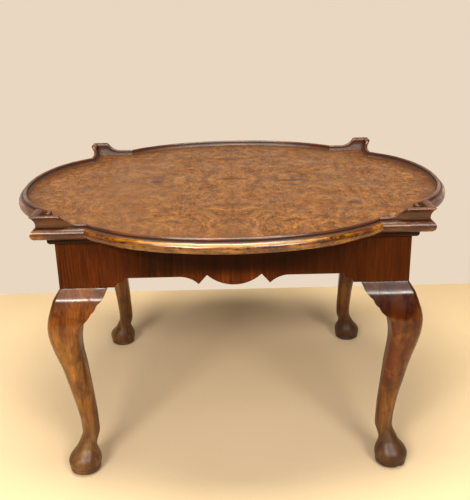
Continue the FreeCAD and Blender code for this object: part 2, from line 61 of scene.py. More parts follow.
class Finish:
    """One material. Each method adds a node to it and returns what comes out. Colours
    are (red, green, blue) as a screen shows them, 0 to 255."""

    def __init__(self, name, gloss):
        self.material = bpy.data.materials.new(name)
        self.material.use_nodes = True
        self.tree = self.material.node_tree
        self.shader = self.tree.nodes["Principled BSDF"]
        self.shader.inputs["Specular IOR Level"].default_value = gloss
        self.object_place = self.add("TexCoord").outputs["Object"]

    def add(self, kind, inputs=(), **settings):
        node = self.tree.nodes.new("ShaderNode" + kind)
        for key, value in settings.items():
            setattr(node, key, value)
        for key, value in dict(inputs).items():
            self.join(node.inputs[key], value)
        return node

    def join(self, socket, value):
        if isinstance(value, bpy.types.NodeSocket):
            self.tree.links.new(value, socket)
        else:
            socket.default_value = value

    def axes(self):
        """The three coordinates, one by one."""
        return self.add("SeparateXYZ", {0: self.object_place}).outputs

    def mark(self, name, part="Fac"):
        """A mark that the mesh carries from point to point."""
        return self.add("Attribute", attribute_name=name).outputs[part]

    def sum(self, how, first, second=0.0):
        return self.add("Math", {0: first, 1: second}, operation=how).outputs[0]

    def times(self, first, second):
        return self.sum("MULTIPLY", first, second)

    def blend(self, first, share, second, other_share=1.0):
        """first x share + second x other share."""
        return self.sum("ADD", self.times(first, share), self.times(second, other_share))

    def vector(self, how, first, second=(0, 0, 0)):
        node = self.add("VectorMath", {0: first, 1: second}, operation=how)
        return node.outputs["Value" if how == "LENGTH" else "Vector"]

    def stretched(self, place, scale):
        return self.add("Mapping", {"Vector": place, "Scale": scale}).outputs[0]

    def cloud(self, place, scale, detail=3.0, rough=0.5, part="Fac"):
        inputs = {"Vector": place, "Scale": scale, "Detail": detail, "Roughness": rough}
        return self.add("TexNoise", inputs).outputs[part]

    def cells(self, place, scale):
        inputs = {"Vector": place, "Scale": scale}
        return self.add("TexVoronoi", inputs).outputs["Distance"]

    def swirled(self, place, amount, scale, detail=3.0, source=None):
        """The place moved by a coloured noise that is read there or at the source."""
        source = place if source is None else source
        noise = self.cloud(source, scale, detail, part="Color")
        step = self.vector("MULTIPLY", self.vector("SUBTRACT", noise, (0.5,) * 3), (amount,) * 3)
        return self.vector("ADD", place, step)

    def between(self, value, low, high, start=0.0, end=1.0):
        """The value's place from low to high as a share, 0 to 1, smoothed (3 times its
        square less 2 times its cube) and carried to start and end."""
        inputs = {0: value, 1: low, 2: high, 3: start, 4: end}
        return self.add("MapRange", inputs, interpolation_type="SMOOTHSTEP").outputs[0]

    def ramp(self, value, *stops):
        """Colours along the value, from stops (value, colour)."""
        node = self.add("ValToRGB", {0: value})
        elements = node.color_ramp.elements
        while len(elements) < len(stops):
            elements.new(0.5)
        for element, (place, colour) in zip(elements, stops):
            element.position = place
            element.color = tint(*colour)
        return node.outputs[0]

    def mix(self, amount, first, second):
        """From the first colour to the second by the amount."""
        node = self.add("Mix", data_type="RGBA")
        self.join(node.inputs[0], amount)
        for number, colour in ((6, first), (7, second)):
            self.join(node.inputs[number], tint(*colour) if isinstance(colour, tuple) else colour)
        return node.outputs[2]

    def over(self, colour, shade, value, low, high, most=1.0):
        """The shade laid over the colour: none at low, the most at high and past it."""
        return self.mix(self.between(value, low, high, 0.0, most), colour, shade)

    def done(self, colour, roughness, height, depth):
        """The finished material, with the height as a relief of that depth."""
        inputs = {"Height": height, "Distance": depth, "Strength": 1.0}
        normal = self.add("Bump", inputs).outputs[0]
        for name, value in (("Base Color", colour), ("Roughness", roughness), ("Normal", normal)):
            self.join(self.shader.inputs[name], value)
        return self.material


def bare_wood(name, light, dark, along):
    """Planed wood with no finish: growth lines along X or Y, pores and grime."""
    wood = Finish(name, gloss=0.25)
    board = wood.stretched(wood.object_place, (0.06, 1, 1) if along == "X" else (1, 0.06, 1))
    bent = wood.swirled(board, 0.06, 9.0)
    lines = wood.cloud(wood.stretched(bent, (1, 1, 0.35)), 130.0, 2.0)
    pores = wood.cloud(board, 900.0, 2.0)
    grime = wood.cloud(wood.object_place, 11.0, 4.0)
    colour = wood.ramp(lines, (0.30, dark), (0.48, light), (0.62, dark), (0.75, light))
    colour = wood.over(colour, dark, grime, 0.42, 0.75, 0.65)
    colour = wood.over(colour, (52, 33, 20), pores, 0.55, 0.72, 0.45)
    dull = wood.between(grime, 0.3, 0.8, 0.62, 0.85)
    return wood.done(colour, dull, wood.blend(lines, 0.6, pores), 0.15 * mm)


def coat_nodes(starts, material):
    """Gives the frame's own pieces whose names start so their finish."""
    for name in sorted(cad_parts):
        if name.startswith(starts):
            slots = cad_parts[name].material_slots
            if not slots:
                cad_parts[name].data.materials.append(material)
            for place in slots:
                place.material = material


coat_nodes("top_board", bare_wood("bare_core_board", (158, 116, 70), (112, 76, 43), "X"))

# ---- Top veneer: four leaves of burr walnut laid as a quarter match inside the rim,
# about 1 mm thick. The joint down the middle has opened a little, so each leaf has
# an eased edge there, and knots sit in mirrored pairs along the cross joint.

tray_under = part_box("top_board_front")[0].z
core_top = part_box("top_board_front")[1].z
field_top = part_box("veneer_back_right")[1].z
field_rise = field_top - tray_under
edge_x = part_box("corner_rail_front_right_face")[1].x
edge_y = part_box("corner_rail_back_right_rear")[1].y
leaf_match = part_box("veneer_back_right")[0].y

corner_length = 84.0 * mm
rim_width = 18.0 * mm
leaf_gap = 0.1 * mm
leaf_ease = 0.35 * mm
outline_steps = 24, 22  # along half of a bow's middle arc and along an end arc
under_steps, face_steps = 16, 44


class Bow:
    """Three arcs that carry the rim from corner to corner: a middle one, and a tighter
    one at each end that touches it and passes through the end of the straight edge."""

    def __init__(self, half_chord, base, apex, middle_radius, shoulder):
        self.half_chord, self.base, self.middle_radius = half_chord, base, middle_radius
        self.middle_centre = apex - middle_radius
        self.shoulder_angle = math.asin(shoulder / middle_radius)
        sine, cosine = math.sin(self.shoulder_angle), math.cos(self.shoulder_angle)
        rise = base - self.middle_centre
        spare = half_chord**2 + rise**2 - middle_radius**2
        shift = spare / (2 * (half_chord * sine + rise * cosine - middle_radius))
        self.end_radius = middle_radius - shift
        self.end_centre = np.array([shift * sine, self.middle_centre + shift * cosine])
        self.end_angle = math.atan2(half_chord - self.end_centre[0], base - self.end_centre[1])

    def mitred_angle(self, inset):
        """Angle at which the end arc, moved in by inset, meets the mitre line."""
        way = np.array([math.sin(self.end_angle / 2), math.cos(self.end_angle / 2)])
        arm = np.array([self.half_chord, self.base]) - self.end_centre
        lean = arm @ way
        travel = -lean + np.sqrt(lean**2 - arm @ arm + (self.end_radius - inset) ** 2)
        return np.arctan2(arm[0] + travel * way[0], arm[1] + travel * way[1])

    def run(self, inset, middle_steps, end_steps):
        """(along, out, length) on a grid: rows from the left mitre to the right one, one
        column for each inset. An arc moved in by inset keeps its centre."""
        inset = np.asarray(inset, float)[None, :]
        shoulder, reach = self.shoulder_angle, self.middle_radius - inset
        turn = np.linspace(-1, 1, 2 * middle_steps + 1)[:, None] * shoulder
        length = self.middle_radius * turn + 0 * inset
        middle = reach * np.sin(turn), self.middle_centre + reach * np.cos(turn), length
        share = np.linspace(0, 1, end_steps + 1)[1:, None]
        turn = shoulder + (self.mitred_angle(inset) - shoulder) * share
        reach = self.end_radius - inset
        x = self.end_centre[0] + reach * np.sin(turn)
        y = self.end_centre[1] + reach * np.cos(turn)
        length = self.middle_radius * shoulder + self.end_radius * (turn - shoulder)
        left, right = (-x[::-1], y[::-1], -length[::-1]), (x, y, length)
        return [np.vstack(parts) for parts in zip(left, middle, right)]


long_bow = Bow(edge_x - corner_length, edge_y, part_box("rim_bow_back")[1].y,
               middle_radius=412.0 * mm, shoulder=130.0 * mm)
short_bow = Bow(edge_y - corner_length, edge_x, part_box("rim_bow_right")[1].x,
                middle_radius=342.0 * mm, shoulder=115.0 * mm)


def piece(name, points, material, slot, stands_for, sharp=35, **marks):
    """Closed mesh from a grid of points. Rows run along the piece and columns once
    round its section: the last column joins the first, and the first and last rows
    are closed with one face each. Points that fall together are merged, and the
    faces are turned outwards."""
    rows, columns = points.shape[:2]
    index = np.arange(rows * columns).reshape(rows, columns)
    near, far = index[:-1], index[1:]
    quads = np.stack([near, np.roll(near, -1, 1), np.roll(far, -1, 1), far], -1).reshape(-1, 4)
    mesh = bpy.data.meshes.new(name)
    faces = quads.tolist() + [index[0][::-1].tolist(), index[-1].tolist()]
    mesh.from_pydata(points.reshape(-1, 3).tolist(), [], faces)
    for key, values in marks.items():
        vector = values.ndim == 3
        kind, field = ("FLOAT_VECTOR", "vector") if vector else ("FLOAT", "value")
        attribute = mesh.attributes.new(key, kind, "POINT")
        attribute.data.foreach_set(field, values.astype(np.float32).ravel())
    work = bmesh.new()
    work.from_mesh(mesh)
    bmesh.ops.remove_doubles(work, verts=work.verts, dist=0.002 * mm)
    bmesh.ops.recalc_face_normals(work, faces=work.faces)
    work.to_mesh(mesh)
    work.free()
    mesh.shade_smooth()
    mesh.set_sharp_from_angle(angle=math.radians(sharp))
    mesh.materials.append(material)
    made = bpy.data.objects.new(name, mesh)
    bpy.context.scene.collection.objects.link(made)
    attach(made, "root")
    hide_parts(*stands_for)


def veneer_finish():
    """Burr walnut under old varnish. Both coordinates are folded at the joints, so the
    four leaves mirror each other. Swirls come from the sine of a warped noise, eyes
    from small cells, and the knots from discs at listed places."""
    burr = Finish("burr_veneer", gloss=0.12)
    tray = burr.object_place
    across, back, _ = burr.axes()
    folded_x = burr.sum("ABSOLUTE", across)
    folded_y = burr.sum("ABSOLUTE", burr.sum("SUBTRACT", back, leaf_match))
    leaf = burr.add("CombineXYZ", {0: folded_x, 1: folded_y, 2: 0.37}).outputs[0]
    soft = burr.swirled(leaf, 0.09, 7.0, 2.0)
    figure = burr.swirled(soft, 0.017, 42.0, 4.0, source=leaf)
    ripple = burr.sum("SINE", burr.times(burr.cloud(figure, 13.0, 2.0), 95.0))
    fine = burr.cloud(burr.stretched(figure, (1.2, 0.7, 1.0)), 240.0, 5.0, 0.7)
    mottle = burr.cloud(burr.stretched(figure, (1.1, 0.7, 1.0)), 56.0, 5.0, 0.7)
    eyes = burr.between(burr.cells(figure, 92.0), 0.24, 0.10)
    clusters = burr.between(burr.cloud(leaf, 11.0, 3.0), 0.48, 0.60)
    broad = burr.cloud(tray, 3.6, 3.0)
    colour = burr.ramp(
        mottle, (0.34, (56, 28, 6)), (0.44, (89, 51, 16)), (0.53, (108, 65, 23)),
        (0.65, (138, 92, 41)),
    )
    colour = burr.over(colour, (80, 42, 18), ripple, 0.1, 1.0, 0.14)
    colour = burr.over(colour, (154, 110, 64), fine, 0.48, 0.68, 0.70)
    colour = burr.over(colour, (50, 23, 7), fine, 0.50, 0.30, 0.64)
    eye = burr.times(burr.times(eyes, clusters), 0.6)
    colour = burr.mix(eye, colour, (76, 38, 18))
    colour = burr.over(colour, (108, 72, 42), broad, 0.44, 0.64, 0.5)
    # Knots and dark flecks: (x, y, half width, half depth) in mm, strength and colour.
    shape = burr.swirled(tray, 0.016, 42.0, 4.0)
    for x, y, wide, deep, strength, shade in (
        (-147, 38, 19, 26, 0.75, (86, 56, 48)), (-150, 12, 17, 10, 0.95, (58, 30, 20)),
        (0, 27, 34, 11, 0.8, (68, 40, 20)), (-60, 10, 24, 9, 0.6, (76, 46, 25)),
        (70, 26, 26, 16, 0.6, (92, 60, 46)), (112, 6, 36, 10, 0.95, (62, 34, 24)),
        (125, 34, 30, 14, 0.6, (92, 62, 44)), (213, -158, 17, 12, 0.95, (70, 34, 14)),
    ):
        away = burr.vector("SUBTRACT", shape, (x * mm, y * mm, field_top))
        away = burr.stretched(away, (1000 / wide, 1000 / deep, 0.0))
        colour = burr.over(colour, shade, burr.vector("LENGTH", away), 1.1, 0.35, strength)
    # Years of dirt lie along the rim and darken the open joints.
    joint = burr.between(folded_x, 0.9 * mm, 0.2 * mm)
    patchy = burr.between(burr.cloud(tray, 24.0, 3.0), 0.38, 0.66, 0.0, 0.75)
    colour = burr.mix(burr.times(joint, patchy), colour, (48, 26, 16))
    colour = burr.over(colour, (66, 37, 22), folded_y, 0.8 * mm, 0.1 * mm, 0.2)
    colour = burr.over(colour, (78, 40, 17), burr.mark("rim_distance"), 40 * mm, 1 * mm, 0.62)
    sheen = burr.between(burr.cloud(tray, 17.0, 5.0), 0.3, 0.75, 0.30, 0.48)
    height = burr.blend(fine, 0.35, burr.cloud(soft, 34.0, 2.0))
    return burr.done(colour, sheen, height, 0.16 * mm)


def leaf_outline(inset):
    """(x, y) points of the tray's outline moved in by inset, over the quarter where x
    and y are positive: side bow, corner, then back bow."""
    x, y, _ = short_bow.run([inset], *outline_steps)
    side = np.column_stack([y[:, 0], x[:, 0]])
    x, y, _ = long_bow.run([inset], *outline_steps)
    rear = np.column_stack([x[:, 0], y[:, 0]])[::-1]
    corner = np.array([edge_x - inset, edge_y - inset])
    steps = np.linspace(0, 1, 14)[:, None]
    to_corner = side[-1] + (corner - side[-1]) * steps[1:-1]
    from_corner = corner + (rear[0] - corner) * steps[:-1]
    return np.vstack([side[side[:, 1] > 0], to_corner, from_corner, rear[rear[:, 0] > 0]])


def leaf_grid(across, back):
    """One leaf as a fan from where the four leaves meet. A row is one ray to the
    outline, and its columns go out along the underside, round the edge and back over
    the face, which drops by the ease at the joints."""
    inset = rim_width + leaf_gap
    outer = leaf_outline(inset)
    match = leaf_match * back
    side_reach = short_bow.run([inset], *outline_steps)[1].max()
    outer = outer[outer[:, 1] > match + 2 * mm]
    outer = np.vstack([[side_reach, match], outer, [0.0, outer[-1, 1]]])
    outer[:, 1] -= match
    out_and_back = np.linspace(0, 1, under_steps), [1.0], np.linspace(0.999, 0, face_steps)
    share = np.concatenate(out_and_back)
    x, y = outer[:, :1] * share, outer[:, 1:] * share
    face = np.full(face_steps, field_top)
    z = np.concatenate([np.full(under_steps, core_top), [field_top - leaf_ease], face])
    open_joint = np.clip(1 - x / leaf_ease, 0, 1)
    over = np.arange(len(share)) > under_steps
    z = z - leaf_ease * open_joint**2 * over
    reach = np.hypot(outer[:, 0], outer[:, 1])[:, None]
    points = np.stack([across * x, back * (y + match), z], -1)
    return points, (1 - share) * reach


burr = veneer_finish()
for depth_name, back in (("front", -1), ("back", 1)):
    for width_name, across in (("left", -1), ("right", 1)):
        name = depth_name + "_" + width_name
        points, distance = leaf_grid(across, back)
        piece("leaf_" + name, points, burr, "burr_veneer", ["veneer_" + name],
              rim_distance=distance)

# ---- Bow mouldings: four curved rims of solid walnut, worked to a half-round nose
# with a quirk and a low bead above it, mitred at both ends and glued round the core.
# The noses have rubbed to a golden brown, with pits and dark specks.

nose_radius = 9.5 * mm
nose_drop = 1.2 * mm
nose_top = 2 * nose_radius - nose_drop
board_edge = 11.0 * mm
quirk_inset = nose_radius + 0.9 * mm
quirk_top = nose_top + 0.6 * mm
low_rim_height = 23.5 * mm
quarter = 1 - math.sqrt(0.5)


def section(start, *moves):
    """Points of an outline. A move (a, b, steps) is a line, and (a, b, steps, bulge)
    an arc that stands out by bulge to the left of its chord: its half angle is twice
    the arctangent of bulge over half the chord, and its points are evenly turned."""
    points = [np.array([start], float)]
    for a, b, steps, *bulge in moves:
        first = points[-1][-1]
        chord = np.array([a, b]) - first
        share = np.linspace(0, 1, steps + 1)[1:, None]
        line = first + chord * share
        if bulge:
            half = np.hypot(*chord) / 2
            angle = 2 * math.atan(abs(bulge[0]) / half)
            radius = half / math.sin(angle)
            swing = (2 * share - 1) * angle
            middle = first + chord / 2
            left = np.array([-chord[1], chord[0]]) / (2 * half) * math.copysign(1, bulge[0])
            rise = radius * (np.cos(swing) - math.cos(angle))
            line = middle + chord / (2 * half) * radius * np.sin(swing) + left * rise
        points.append(line)
    return np.vstack(points)


nose = (
    (board_edge, -nose_drop, 2),
    (nose_radius, -nose_drop, 2),
    (nose_radius, nose_top, 18, nose_radius),
)


def low_section():
    """(inset, height) of the rim along a bow."""
    bead_start = quirk_inset + 1.0 * mm
    bead_end = bead_start + 1.6 * mm
    bead_round = 2.6 * mm
    return section(
        (board_edge, core_top - tray_under),
        *nose,
        (quirk_inset, quirk_top, 2),
        (bead_start, low_rim_height, 9, 1.7 * mm),
        (bead_start + 0.6 * mm, low_rim_height, 3),
        (bead_end, low_rim_height, 2),
        (bead_end + bead_round, low_rim_height - bead_round, 6, quarter * bead_round),
        (rim_width, field_rise, 7, -1.2 * mm),
        (rim_width, core_top - tray_under, 2),
    )[:-1]


def waves(points, pitch, seed):
    """Smooth uneven value from about -1 to 1 at each point: the mean of eight sine
    waves of one pitch, whose directions and starts are drawn from the seed."""
    draw = np.random.default_rng(seed)
    ways = draw.normal(size=(8, 3))
    ways /= np.linalg.norm(ways, axis=1, keepdims=True)
    starts = draw.uniform(0, 2 * math.pi, 8)
    return np.sin(points @ ways.T * (2 * math.pi / pitch) + starts).mean(-1) * 2


def worn(points, depth, pitch, seed):
    """The surface cut back along its own normal, only inwards, by up to the depth.
    The normal is the cross product of the grid's two directions."""
    around = np.roll(points, -1, 1) - np.roll(points, 1, 1)
    normal = np.cross(np.gradient(points, axis=0), around)
    size = np.linalg.norm(normal, axis=-1, keepdims=True)
    normal /= np.where(size > 0, size, 1)
    middle = points.mean(1, keepdims=True)
    outward = np.sign((normal * (points - middle)).sum(-1).mean())
    cut = depth * np.clip(0.5 + 0.5 * waves(points, pitch, seed), 0, 1)
    return points - normal * outward * cut[..., None]


def turned(along, out, height, quarters):
    """Points drawn on the back side, turned to the left so many quarters."""
    turn = quarters * math.pi / 2
    cosine, sine = round(math.cos(turn)), round(math.sin(turn))
    height = np.broadcast_to(height, along.shape)
    return np.stack([cosine * along - sine * out, sine * along + cosine * out, height], -1)


def hump(value, middle, width):
    """Bell curve, 1 at the middle: e to minus the square of distance over width."""
    return np.exp(-(((value - middle) / width) ** 2))


quirk_reach, foot_reach, foot_start = 2.4 * mm, 3.2 * mm, 13.0 * mm


def hollow_mark(inset, height, top):
    """0 on the nose and on the top edge, 1 down in the quirk, the hollows and where
    the moulding meets the field."""
    quirk = hump(height, quirk_top, quirk_reach) * (inset > 0.6 * nose_radius)
    foot = hump(height, field_rise, foot_reach) * (inset > foot_start)
    inside = np.clip((inset - nose_radius) / (2 * mm), 0, 1)
    hollow = inside * np.clip((top - height) / (5 * mm), 0, 1)
    return np.clip(quirk + foot + 0.55 * hollow, 0, 1)


def rim_finish(name, light, middle, dark, seed, gloss=0.75, smooth=0.19):
    """Walnut moulding under old dark polish, with its grain along the piece. Where the
    rubbed mark says so the polish has gone and the wood is amber with dark
    pits, and past 1 it turns pale: a painted highlight on worn wood. The quirks and
    hollows are duller and darker: dirt, and painted shade."""
    rim = Finish(name, gloss=gloss)
    place = rim.vector("ADD", rim.mark("grain", "Vector"), (seed, 0.3 * seed, 0))
    streak = rim.cloud(rim.stretched(place, (0.10, 1, 1)), 260.0, 4.0, 0.62)
    patch = rim.cloud(rim.stretched(place, (0.40, 1, 1)), 38.0, 4.0, 0.6)
    pit = rim.cloud(rim.stretched(place, (0.55, 1, 1)), 330.0, 3.0, 0.7)
    spots = rim.between(rim.cells(rim.stretched(place, (0.6, 1, 1)), 150.0), 0.40, 0.20)
    tone = rim.blend(patch, 0.6, streak, 0.4)
    polish = rim.ramp(tone, (0.36, dark), (0.48, middle), (0.62, light))
    amber = rim.ramp(
        tone, (0.37, (48, 20, 1)), (0.46, (90, 48, 5)), (0.54, (124, 76, 14)),
        (0.66, (170, 118, 40)),
    )
    speck = rim.times(spots, rim.between(patch, 0.66, 0.50))
    amber = rim.mix(rim.times(speck, 0.75), amber, (44, 18, 2))
    amber = rim.over(amber, (40, 16, 3), pit, 0.55, 0.66, 0.9)
    rubbed = rim.blend(rim.sum("SUBTRACT", patch, 0.5), 1.3, rim.mark("rubbed"))
    colour = rim.mix(rim.between(rubbed, 0.22, 0.52), polish, amber)
    # Past 1 the nose turns pale: a painted highlight on worn wood.
    colour = rim.over(colour, (200, 154, 92), rubbed, 1.02, 1.55, 0.75)
    hollow = rim.mark("hollow")
    dirt_and_shade = rim.blend(rim.sum("SUBTRACT", streak, 0.5), 0.5, hollow)
    # Dirt and painted shade darken the quirks and hollows, and the bed strips towards their lower
    # edge.
    colour = rim.over(colour, (52, 23, 7), dirt_and_shade, 0.12, 0.75, 0.9)
    dull = rim.between(hollow, 0.05, 0.7, smooth, 0.46)
    dull = rim.sum("ADD", dull, rim.between(patch, 0.35, 0.65, 0.08, 0.0))
    height = rim.sum("SUBTRACT", rim.times(streak, 0.5), rim.between(pit, 0.58, 0.74))
    return rim.done(colour, dull, height, 0.03 * mm)


# Height and width of the band on the nose that is carried past 1 into the pale painted highlight.
highlight_crest_height, highlight_crest_width = 15.0 * mm, 2.6 * mm


def rubbed_mark(inset, height, amount):
    """The amount on the outer half of the nose, fading over its top and in the quirk, and
    half as much again along a band high on the nose, where hands and cloths rub most and
    where the painted highlight lies."""
    outer = np.clip((nose_radius - inset) / (3 * mm) + 0.6, 0, 1)
    highlight_crest = 1 + 0.5 * hump(height, highlight_crest_height, highlight_crest_width)
    return amount * highlight_crest * outer * np.clip((nose_top - height) / (2 * mm), 0, 1)


bow_finish = rim_finish("rubbed_rim", (106, 56, 22), (74, 36, 12), (42, 18, 5), 0.0)
low_profile = low_section()
bow_steps = 60, 40
bow_wear = 0.35 * mm, 21 * mm  # depth and pitch
fading_length = 125.0 * mm
sides = "back", "left", "front", "right"  # each a quarter turn from the one before
# The front bow's large amount carries its nose past 1, into the pale painted highlight.
for quarters, (side, wear) in enumerate(zip(sides, (0.05, 0.16, 1.0, 0.34))):
    bow = short_bow if quarters % 2 else long_bow
    along, out, length = bow.run(low_profile[:, 0], *bow_steps)
    inset, height = np.broadcast_arrays(*low_profile.T[:, None, :], along)[:2]
    points = turned(along, out, tray_under + height, quarters)
    from_end = 1.02 * bow.half_chord - np.abs(along)
    fading = np.clip(from_end / fading_length, 0.25, 1)
    piece("bow_moulding_" + side, worn(points, *bow_wear, quarters), bow_finish,
          "rim_moulding", ["rim_bow_" + side],
          hollow=hollow_mark(inset, height, low_rim_height),
          grain=np.stack([length + quarters, inset, height], -1),
          rubbed=rubbed_mark(inset, height, wear) * fading)

# ---- Corner mouldings: two to a corner, of the same walnut. The nose runs on, and
# above it a hollow rises to a thin lip, level over the leg and then swept down in an
# ogee to the height of the bows. Mitred at the corner and where they meet the bow.

corner_rim_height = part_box("corner_rail_front_left_face")[1].z - tray_under
front_flat, back_flat = 43.0 * mm, 30.0 * mm
ogee_length, ogee_shoulder = 34.0 * mm, 10.0 * mm


def tall_section():
    """(inset, height) of the rim at a corner, with as many points as the low one."""
    lip_inset, lip_round = 1.3 * mm, 2.0 * mm
    top_start = lip_inset + lip_round
    top_end = top_start + 3.7 * mm
    return section(
        (board_edge, core_top - tray_under),
        *nose,
        (8.2 * mm, 19.2 * mm, 2),
        (lip_inset, corner_rim_height - lip_round, 9, -2.7 * mm),
        (top_start, corner_rim_height, 3, quarter * lip_round),
        (top_end, corner_rim_height, 2),
        (top_end + 5.1 * mm, corner_rim_height - 6 * mm, 6, 1.6 * mm),
        (rim_width, field_rise, 7, -2.6 * mm),
        (rim_width, core_top - tray_under, 2),
    )[:-1]


def sweep_share(run):
    """How far the ogee has come down, 0 to 1, at a run from the end of the level top:
    two arcs that meet smoothly, a tight one below the top and a long one at the foot.
    Each is level at its end, so both turn by twice the arctangent of drop over length."""
    drop = corner_rim_height - low_rim_height
    turn = 2 * math.atan(drop / ogee_length)
    tail = ogee_length / math.sin(turn) - ogee_shoulder
    run = np.clip(run, 0, ogee_length)
    upper = ogee_shoulder - np.sqrt(np.clip(ogee_shoulder**2 - run**2, 0, None))
    lower = drop - tail + np.sqrt(tail**2 - (ogee_length - run) ** 2)
    return np.where(run < ogee_shoulder * math.sin(turn), upper, lower) / drop


corner_finish = rim_finish(
    "corner_rim", (106, 56, 22), (76, 37, 12), (44, 19, 5), 3.1, gloss=0.5, smooth=0.25)
tall_profile = tall_section()
corner_rows = 96
corner_wear = 0.3 * mm, 17 * mm
# (corner and side, quarter turns, which end of that side)
corner_pieces = (
    ("back_right_rear", 0, 1), ("back_left_rear", 0, -1),
    ("back_left_side", 1, 1), ("front_left_side", 1, -1),
    ("front_left_face", 2, 1), ("front_right_face", 2, -1),
    ("front_right_side", 3, 1), ("back_right_side", 3, -1),
)
for number, (corner, quarters, sign) in enumerate(corner_pieces):
    bow, end, base = (short_bow, edge_y, edge_x) if quarters % 2 else (long_bow, edge_x, edge_y)
    flat = back_flat if corner.startswith("back") else front_flat
    share = np.linspace(0, 1, corner_rows)[:, None]
    inset, height = np.broadcast_arrays(*tall_profile.T[:, None, :], share)[:2]
    for _ in range(2):  # the section at a place depends on the sweep there, so twice
        near = bow.half_chord - inset * math.tan(bow.end_angle / 2)
        along = (end - inset) * (1 - share) + near * share
        low = sweep_share(end - along - flat)
        inset = tall_profile[:, 0] * (1 - low) + low_profile[:, 0] * low
    height = tall_profile[:, 1] * (1 - low) + low_profile[:, 1] * low
    top = corner_rim_height * (1 - low) + low_rim_height * low
    points = turned(sign * along, base - inset, tray_under + height, quarters)
    wear = 0.32 if corner.endswith("face") else 0.2
    piece("corner_moulding_" + corner, worn(points, *corner_wear, 10 + number),
          corner_finish, "rim_moulding", ["corner_rail_" + corner],
          hollow=hollow_mark(inset, height, top),
          grain=np.stack([along + number, inset, height], -1),
          rubbed=rubbed_mark(inset, height, wear))

# ---- Frame: four rails tenoned into the leg posts, of plain wood that shows only
# from behind and below. They come from the frame and take a bare, browned finish.

rail_brown, rail_dark = (128, 86, 52), (88, 55, 32)
long_rail = bare_wood("bare_long_rail", rail_brown, rail_dark, "X")
short_rail = bare_wood("bare_short_rail", rail_brown, rail_dark, "Y")
coat_nodes(("rail_front", "rail_back"), long_rail)
coat_nodes(("rail_left", "rail_right"), short_rail)

# ---- Facings: walnut veneer 1.5 mm thick on the rails and posts, laid with its grain
# upright. The long ones are sawn to a shallow lobe between two pointed drops, and
# all four step up beside the knee brackets. The edges are eased with a scraper.

frame_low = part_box("facing_front")[0].z
half_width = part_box("facing_front")[1].x
half_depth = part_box("facing_back")[1].y
facing_thickness = 1.5 * mm
facing_ease = 0.4 * mm
step_inset = 92.0 * mm
step_rise = 16.0 * mm
drop_start, drop_tip, lobe_end = 88.0 * mm, 59.0 * mm, 45.0 * mm
drop_low, lobe_high = frame_low + 2.5 * mm, frame_low + 18.5 * mm
drop_bulge, lobe_bulge = 2.9 * mm, 18.0 * mm


def lower_edge(half_length, end, ornament):
    """(along, height) of a facing's lower edge, from left to right."""
    start, radius = half_length - step_inset, step_rise / 2
    bend = quarter * radius
    high = frame_low + step_rise
    middle = []
    if ornament:
        middle = [
            (-drop_start, high, 20),
            (-drop_tip, drop_low, 12, drop_bulge),
            (-lobe_end, lobe_high, 8),
            (lobe_end, lobe_high, 36, -lobe_bulge),
            (drop_tip, drop_low, 8),
            (drop_start, high, 12, drop_bulge),
        ]
    return section(
        (-end, frame_low),
        (-start, frame_low, 24),
        (radius - start, frame_low + radius, 8, bend),
        (2 * radius - start, high, 8, -bend),
        *middle,
        (start - 2 * radius, high, 20),
        (start - radius, frame_low + radius, 8, -bend),
        (start, frame_low, 8, bend),
        (end, frame_low, 24),
    )


def facing_finish():
    """Walnut laid upright: streaks along Z, and ribbons of light and dark side by side,
    under a thin dark polish. Painted shade darkens it along the middle, under the
    overhang of the top, as the top's shadow, and towards the right."""
    face = Finish("crossgrain_facing_walnut", gloss=0.06)
    board = face.stretched(face.object_place, (1, 1, 0.05))
    bent = face.swirled(board, 0.012, 26.0, 2.0)
    ribbon = face.cloud(bent, 26.0, 3.0, 0.6)
    streak = face.cloud(bent, 330.0, 4.0, 0.66)
    pores = face.cloud(face.stretched(face.object_place, (1, 1, 0.09)), 1400.0, 2.0)
    cloud = face.cloud(face.object_place, 8.0, 3.0)
    colour = face.ramp(
        face.blend(ribbon, 0.45, streak, 0.55), (0.34, (34, 12, 1)), (0.47, (66, 28, 4)),
        (0.58, (90, 41, 8)), (0.74, (120, 62, 17)),
    )
    colour = face.over(colour, (34, 12, 3), pores, 0.58, 0.7, 0.4)
    colour = face.over(colour, (58, 22, 6), cloud, 0.45, 0.7, 0.5)
    x, y, level = face.axes()
    along = face.sum("MINIMUM", face.sum("ABSOLUTE", x), face.sum("ABSOLUTE", y))
    # Painted shade: darker along the middle of each facing, high up, as the shadow of the top's
    # overhang.
    middle, upper = face.between(along, 0.22, 0.10), face.between(level, 0.372, 0.392)
    shaded = face.times(face.times(middle, upper), 0.75)
    colour = face.mix(shaded, colour, (26, 7, 0))
    # Painted shade: darker towards the right end.
    colour = face.over(colour, (50, 18, 1), x, -0.1, 0.32, 0.6)
    dull = face.between(cloud, 0.3, 0.75, 0.30, 0.46)
    return face.done(colour, dull, face.blend(streak, 0.6, pores, 0.4), 0.12 * mm)


upright_walnut = facing_finish()
dip_depth, dip_pitch = 0.12 * mm, 70 * mm
